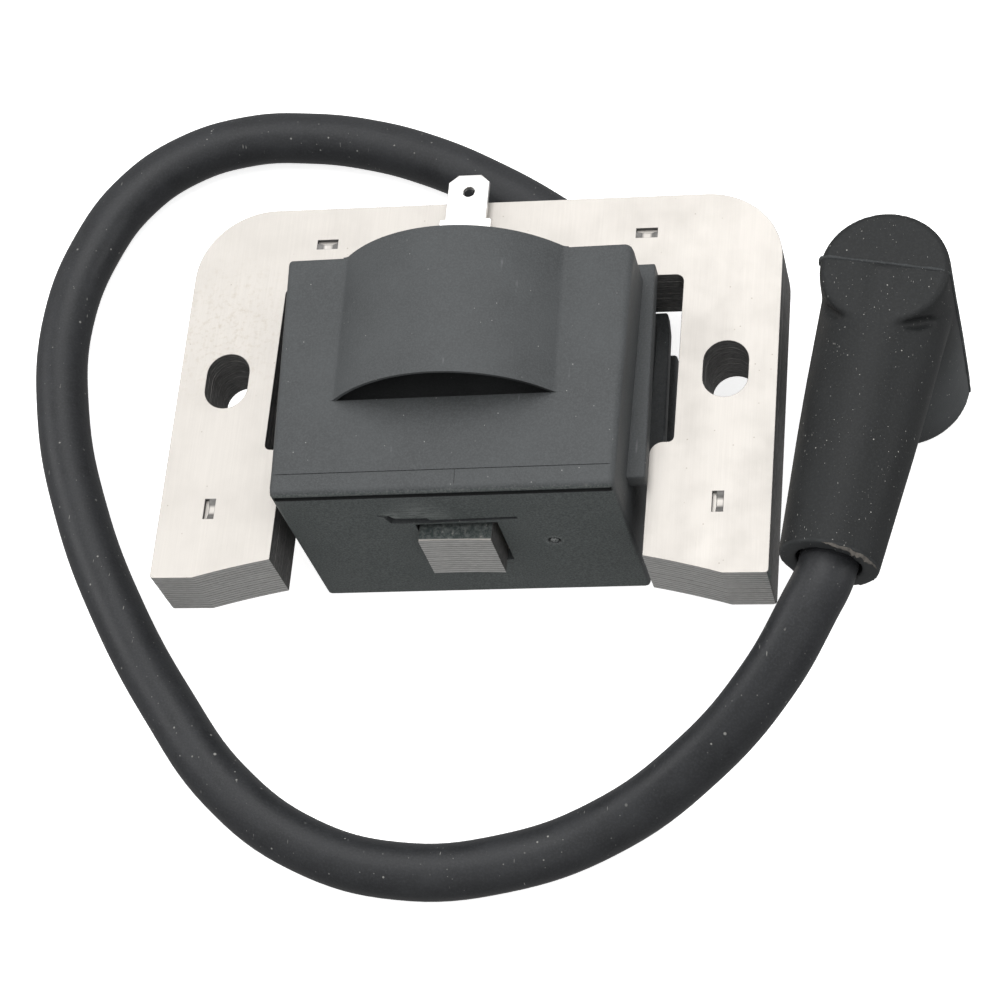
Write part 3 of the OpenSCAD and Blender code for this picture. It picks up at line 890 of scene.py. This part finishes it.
class COIL_OT_potting(bpy.types.Operator):
    """Pour the resin in the open underside, with its edge drawn up the walls"""

    bl_idname = "coil.potting"
    bl_label = "Potting"

    def execute(self, context):
        sizes = context.scene.coil_housing
        columns, rows = 64, 52
        inset, level, top = WALL + POUR_GAP, -10.35, -8.5
        verts, faces = [], []
        for layer in (0, 1):
            for j in range(rows + 1):
                v = j / rows
                y = FRONT_Y + inset + v * (BACK_Y - FRONT_Y - 2 * inset)
                half = FRONT_X - inset + (BACK_X - FRONT_X) * v
                for i in range(columns + 1):
                    x = half * (2 * i / columns - 1)
                    wall = min(half - abs(x), y - FRONT_Y - inset, BACK_Y - inset - y)
                    z = level - 0.3 * exp(-wall / 0.7)
                    z += 0.12 * noise.noise(Vector((x, y, 3)) * 0.16)
                    verts.append((x, y, top if layer else z))
        across = columns + 1
        per_layer = across * (rows + 1)
        for j in range(rows):
            for i in range(columns):
                a = j * across + i
                faces.append((a, a + across, a + across + 1, a + 1))
                b = a + per_layer
                faces.append((b, b + 1, b + across + 1, b + across))
        rim = (list(range(across)) + [j * across + columns for j in range(1, rows + 1)]
               + [rows * across + i for i in range(columns - 1, -1, -1)]
               + [j * across for j in range(rows - 1, 0, -1)])
        for k, a in enumerate(rim):
            b = rim[(k + 1) % len(rim)]
            faces.append((a, b, b + per_layer, a + per_layer))
        potting = shade(mesh_object("potting", verts, faces), 60)
        potting.data.transform(HOUSING_SEAT)
        put(potting, "module", "potting_resin", potting_resin(sizes), "potting_compound")
        return {"FINISHED"}


class COIL_OT_terminal(bpy.types.Operator):
    """Make the spade terminal"""

    bl_idname = "coil.terminal"
    bl_label = "Spade terminal"

    def execute(self, context):
        x, tip = -2.85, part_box("spade_terminal")[1].y / MM
        half, chamfer, shoulder = 3.15, 1.4, 25.8
        right = [(4, 11.2), (4, 25.5), (3.8, shoulder), (half, shoulder), (half, tip - chamfer),
                 (half - chamfer, tip)]
        outline = [(x + u, v) for u, v in right + mirrored(right)]
        hole = arc(x + 0.1, tip - 3.1, 0.9, 0, 345, 23)
        hole = [(u + 0.12 * noise.noise(Vector((u * 2, v * 2, 0))), v) for u, v in hole]
        blade = plate("spade_blade", [outline, hole], 11.9, 12.7, 0.1)
        for v in blade.data.vertices:
            past = v.co.y / MM - (tip - 0.8)
            if past > 0:
                v.co.z += (12.3 * MM - v.co.z) * 0.45 * past / 0.8
        shade(blade, 35)
        put(blade, "module", "tinned_metal",
            bright_metal("tinned_metal", (0.93, 0.92, 0.90), 0.28), "spade_terminal")
        return {"FINISHED"}


# ---- Boot ----

ARM_SIDE = Vector((-ARM_WAY.y, ARM_WAY.x, 0))


def arm_matrix():
    """Stands the boot's lead arm along its own direction: Z of the lathe runs out of the mouth."""
    turn = Matrix((ARM_SIDE, Vector((0, 0, 1)), ARM_WAY)).transposed().to_4x4()
    return Matrix.Translation((BOOT_X, BOOT_Y, ARM_Z)) @ turn


class COIL_OT_boot(bpy.types.Operator):
    """Mould the right-angle boot with its seam and ragged mouth"""

    bl_idname = "coil.boot"
    bl_label = "Plug boot"

    def execute(self, context):
        sizes = context.scene.coil_lead
        stand = Matrix.Translation((BOOT_X, BOOT_Y, 0))
        floor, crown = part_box("plug_boot")[0].z / MM, 24.0
        boot = lathe("boot", [(floor, 9.6), (floor + 0.5, 10.0), (2, 9.75), (14, 9.35),
                              (22, 9.15), (23.4, 9.05), (crown - 0.12, 8.75), (crown, 8.3)],
                     stand, 96)
        arm = lathe("arm", [(0, 9.3), (8, 8.95), (16, 8.6), (24, 8.15), (32, 7.6), (38, 7.2),
                            (ARM_LENGTH - 0.3, 6.95), (ARM_LENGTH, 6.85)], arm_matrix(), 96)
        combine(boot, [arm])
        hollow = [lathe("socket", [(floor - 1, 7.4), (floor + 0.4, 7.4), (floor + 1, 7.0),
                                   (9.0, 7.0), (9.1, 4.6), (19.5, 4.6)], stand, 64),
                  lathe("lead_bore", [(-4, 4.2), (ARM_LENGTH - 4, 4.2), (ARM_LENGTH - 1.5, 4.45),
                                      (ARM_LENGTH + 1, 4.7)], arm_matrix(), 64),
                  self.crease(-1), self.crease(1)]
        combine(boot, hollow, "DIFFERENCE")
        remesh = boot.modifiers.new("Even", "REMESH")
        remesh.mode = "VOXEL"
        remesh.voxel_size = 0.4 * MM
        soften = boot.modifiers.new("Soften", "SMOOTH")
        soften.factor = 0.5
        soften.iterations = 2
        settle(boot)
        boot.data.shade_smooth()
        skin = rubber("boot_rubber", sizes.rubber, 0.56, sizes.dust, 1.1, 0.25, pale_mouth_and_lit_side=True)
        put(boot, "boot", "boot_rubber", skin, "plug_boot")
        seam = self.seam(boot, sizes.seam)
        put(seam, "boot", "boot_rubber",
            rubber("seam_rubber", scaled(sizes.rubber, 3.0), 0.7, 0.9, 0.6, 0.2))
        flash = self.mouth_flash()
        put(flash, "boot", "boot_rubber",
            plain_part("torn_rubber", (0.075, 0.068, 0.06), 0.75, 0.5, 0.8))
        return {"FINISHED"}

    def crease(self, side):
        """A round cut where one side of the arm meets the upright, fading at both ends."""
        curve, points = tube("crease", 0.95 * MM, 3, "POLY", 13)
        curve.use_fill_caps = True
        for i, p in enumerate(points):
            around = radians(22 + 3.6 * i)
            out, up = 9.15 * sin(around), 9.15 * cos(around)
            place = ARM_SIDE * side * out + ARM_WAY * sqrt(9.4 ** 2 - out ** 2)
            place += Vector((BOOT_X, BOOT_Y, ARM_Z + up))
            p.co = (*(place * MM), 1)
            p.radius = (0.15 + 0.85 * sin(pi * i / 12)) * (1.0 if side > 0 else 0.8)
        return settle(add("crease", curve))

    def seam(self, boot, radius):
        """A raised line up one side of the boot, over its top and down the other."""
        tree = BVHTree.FromObject(boot, bpy.context.evaluated_depsgraph_get())
        centre = (Vector((BOOT_X, BOOT_Y, 0)) - ARM_WAY * 0.6) * MM
        outside, steps = 0.03, 36
        points = []

        def hit(origin, way):
            found = tree.ray_cast(origin, way)[0]
            if found is not None:
                points.append(found)

        heights = [Vector((0, 0, (-10.3 + i * 0.95) * MM)) for i in range(steps)]
        for height in heights:
            hit(centre - ARM_SIDE * outside + height, ARM_SIDE)
        for i in range(19):
            hit(centre + ARM_SIDE * (-9.0 + i) * MM + Vector((0, 0, 0.04)), Vector((0, 0, -1)))
        for height in reversed(heights):
            hit(centre + ARM_SIDE * outside + height, -ARM_SIDE)
        curve, line = tube("boot_seam", radius, 2, "POLY", len(points))
        for i, (p, place) in enumerate(zip(line, points)):
            wobble = noise.noise(place / (1.3 * MM))
            p.co = (*(place - Vector((0, 0, radius * 0.2))), 1)
            p.radius = 1 + 0.6 * wobble + (1.2 if abs(i - steps + 1) <= 1 else 0.0)
        return shade(settle(add("boot_seam", curve)), 60)

    def mouth_flash(self):
        """A thin torn lip round the arm's mouth, longest at its upper right."""
        place = arm_matrix()
        verts, faces = [], []
        sides = 120
        for k in range(sides):
            a = 2 * pi * k / sides
            lip = max(0.0, cos(a - radians(48))) ** 4
            reach = -0.3 + 1.2 * lip * (0.6 + 0.9 * abs(noise.noise(Vector((a * 9, 2, 0)))))
            out = 6.8 + 0.35 * lip * noise.noise(Vector((a * 6, 7, 0)))
            for radius, along in ((6.55, ARM_LENGTH - 0.5), (6.7, ARM_LENGTH - 0.5),
                                  (out, ARM_LENGTH + reach), (out - 0.12, ARM_LENGTH + reach)):
                verts.append(place @ Vector((radius * cos(a), radius * sin(a), along)))
        for k in range(sides):
            faces += ring_faces(k * 4, (k + 1) % sides * 4, 4)
        return shade(mesh_object("mouth_flash", verts, faces), 50)


# ---- Inner parts ----

class COIL_OT_inner(bpy.types.Operator):
    """Finish the windings, circuit and wires inside the housing and boot"""

    bl_idname = "coil.inner"
    bl_label = "Inner parts"

    def execute(self, context):
        copper = wound_wire("copper_wire", (0.55, 0.20, 0.08))
        cream = plain_part("bobbin_plastic", (0.62, 0.57, 0.46), 0.5)
        case = plain_part("component_case", (0.02, 0.02, 0.02), 0.45)
        brass = bright_metal("terminal_brass", (0.70, 0.50, 0.22), 0.3)
        lead = context.scene.coil_lead
        finishes = {
            "coil_bobbin": cream, "secondary_bobbin": cream, "charge_winding": copper,
            "primary_winding": copper, "secondary_winding": copper,
            "circuit_board": plain_part("board_laminate", (0.02, 0.12, 0.05), 0.4),
            "energy_capacitor": plain_part("capacitor_case", (0.28, 0.03, 0.02), 0.3),
            "trigger_capacitor": plain_part("resistor_body", (0.42, 0.30, 0.16), 0.5),
            "thyristor": case, "diodes": case,
            "resistors": plain_part("resistor_coat", (0.45, 0.34, 0.20), 0.45),
            "stop_wire": plain_part("wire_cover", (0.35, 0.02, 0.02), 0.4),
            "ground_pin": brass, "high_tension_terminal": brass,
            "high_tension_link": copper, "lead_core_inner_end": copper,
            "lead_core_outer_end": copper,
            "plug_clip": bright_metal("spring_steel", (0.55, 0.55, 0.54), 0.32),
            "clip_spike": bright_metal("spike_steel", (0.60, 0.60, 0.58), 0.28),
            "lead_end_sleeve": rubber("sleeve_rubber", lead.cover, 0.42, 0.2, 2.6),
        }
        for node, material in finishes.items():
            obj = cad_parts[node]
            for slot in obj.material_slots:
                slot.material = material
        return {"FINISHED"}


# ---- Stage ----

CAMERA_PLACE = (0.091744, -0.192918, 0.353089)
CAMERA_TURN = Vector((2.66291846, 0.04906532, -0.29855387))
CAMERA_LENS, SENSOR = 98.937, 36
FLOOR_HALF = 3000


class COIL_OT_camera(bpy.types.Operator):
    """Set the camera above and in front of the part"""

    bl_idname = "coil.camera"
    bl_label = "Camera"

    def execute(self, context):
        data = bpy.data.cameras.new("camera")
        data.sensor_width = SENSOR
        data.lens = CAMERA_LENS
        data.clip_start, data.clip_end = 0.01, 10
        camera = add("camera", data)
        camera.location = CAMERA_PLACE
        seen = Matrix.Rotation(CAMERA_TURN.length, 3, CAMERA_TURN.normalized())
        axes = Matrix((seen[0], -seen[1], -seen[2])).transposed()
        camera.rotation_mode = "QUATERNION"
        camera.rotation_quaternion = axes.to_quaternion()
        context.scene.camera = camera
        return {"FINISHED"}


class COIL_OT_stage(bpy.types.Operator):
    """Lay a pale floor and hang the lights"""

    bl_idname = "coil.stage"
    bl_label = "Floor and lights"

    def execute(self, context):
        sizes = context.scene.coil_stage
        low = CAD_LOW.z / MM
        half = FLOOR_HALF
        floor = mesh_object("floor", [(-half, -half, low), (half, -half, low),
                                      (half, half, low), (-half, half, low)], [(0, 1, 2, 3)])
        paper = Finish("floor_paper", sizes.floor, 0.9)
        tint = paper.mix(paper.grain(300), scaled(sizes.floor, 0.99), sizes.floor)
        paper.feed(paper.shader.inputs["Emission Color"], tint)
        paper.shader.inputs["Emission Strength"].default_value = sizes.glow
        floor.data.materials.append(paper.done(tint))
        floor.visible_diffuse = floor.visible_glossy = False
        world = bpy.data.worlds.new("room")
        world.use_nodes = True
        nodes, links = world.node_tree.nodes, world.node_tree.links
        ray = nodes.new("ShaderNodeTexCoord")
        split = nodes.new("ShaderNodeSeparateXYZ")
        height = nodes.new("ShaderNodeMapRange")
        links.new(ray.outputs["Generated"], split.inputs["Vector"])
        links.new(split.outputs["Z"], height.inputs["Value"])
        for key, value in (("From Min", -0.1), ("From Max", 0.9),
                           ("To Min", sizes.horizon), ("To Max", sizes.sky)):
            height.inputs[key].default_value = value
        nodes["Background"].inputs["Color"].default_value = (1, 1, 1, 1)
        links.new(height.outputs["Result"], nodes["Background"].inputs["Strength"])
        context.scene.world = world
        context.scene.view_settings.view_transform = "Standard"
        lights = (("overhead", (0.05, 0.2, 0.72), sizes.key, 0.7),
                  ("left", (-0.7, 0.1, 0.45), sizes.key * 0.45, 0.4),
                  ("front", (0.35, -0.7, 0.55), sizes.key * 0.12, 0.5),
                  ("right", (0.75, 0.1, 0.2), sizes.key * 0.32, 0.4))
        for name, place, power, size in lights:
            data = bpy.data.lights.new(name, "AREA")
            data.energy = power
            data.size = size
            lamp = add(name, data)
            lamp.location = place
            lamp.rotation_mode = "QUATERNION"
            lamp.rotation_quaternion = (-Vector(place)).to_track_quat("-Z", "Y")
        return {"FINISHED"}


class COIL_PT_parts(bpy.types.Panel):
    """Buttons that make each group of pieces, and their sizes"""

    bl_idname = "COIL_PT_parts"
    bl_label = "Ignition coil"
    bl_space_type = "VIEW_3D"
    bl_region_type = "UI"
    bl_category = "Coil"

    def draw(self, context):
        for operator in OPERATORS:
            self.layout.operator(operator.bl_idname)
        for name in GROUPS:
            group = getattr(context.scene, name)
            column = self.layout.column()
            for key in group.bl_rna.properties.keys():
                if key not in ("name", "rna_type"):
                    column.prop(group, key)


OPERATORS = (COIL_OT_camera, COIL_OT_lead, COIL_OT_core, COIL_OT_housing, COIL_OT_potting,
             COIL_OT_terminal, COIL_OT_boot, COIL_OT_inner, COIL_OT_stage)
GROUPS = {"coil_core": COIL_PG_core, "coil_housing": COIL_PG_housing,
          "coil_lead": COIL_PG_lead, "coil_stage": COIL_PG_stage}


def register():
    for group in GROUPS.values():
        bpy.utils.register_class(group)
    for name, group in GROUPS.items():
        setattr(bpy.types.Scene, name, bpy.props.PointerProperty(type=group))
    for operator in OPERATORS:
        bpy.utils.register_class(operator)
    bpy.utils.register_class(COIL_PT_parts)


def unregister():
    bpy.utils.unregister_class(COIL_PT_parts)
    for operator in reversed(OPERATORS):
        bpy.utils.unregister_class(operator)
    for name in GROUPS:
        delattr(bpy.types.Scene, name)
    for group in GROUPS.values():
        bpy.utils.unregister_class(group)


def main():
    register()
    bpy.ops.coil.camera()
    bpy.ops.coil.lead()
    bpy.ops.coil.core()
    bpy.ops.coil.housing()
    bpy.ops.coil.potting()
    bpy.ops.coil.terminal()
    bpy.ops.coil.boot()
    bpy.ops.coil.inner()
    bpy.ops.coil.stage()
    bpy.context.view_layer.update()


if __name__ == "__main__":
    main()
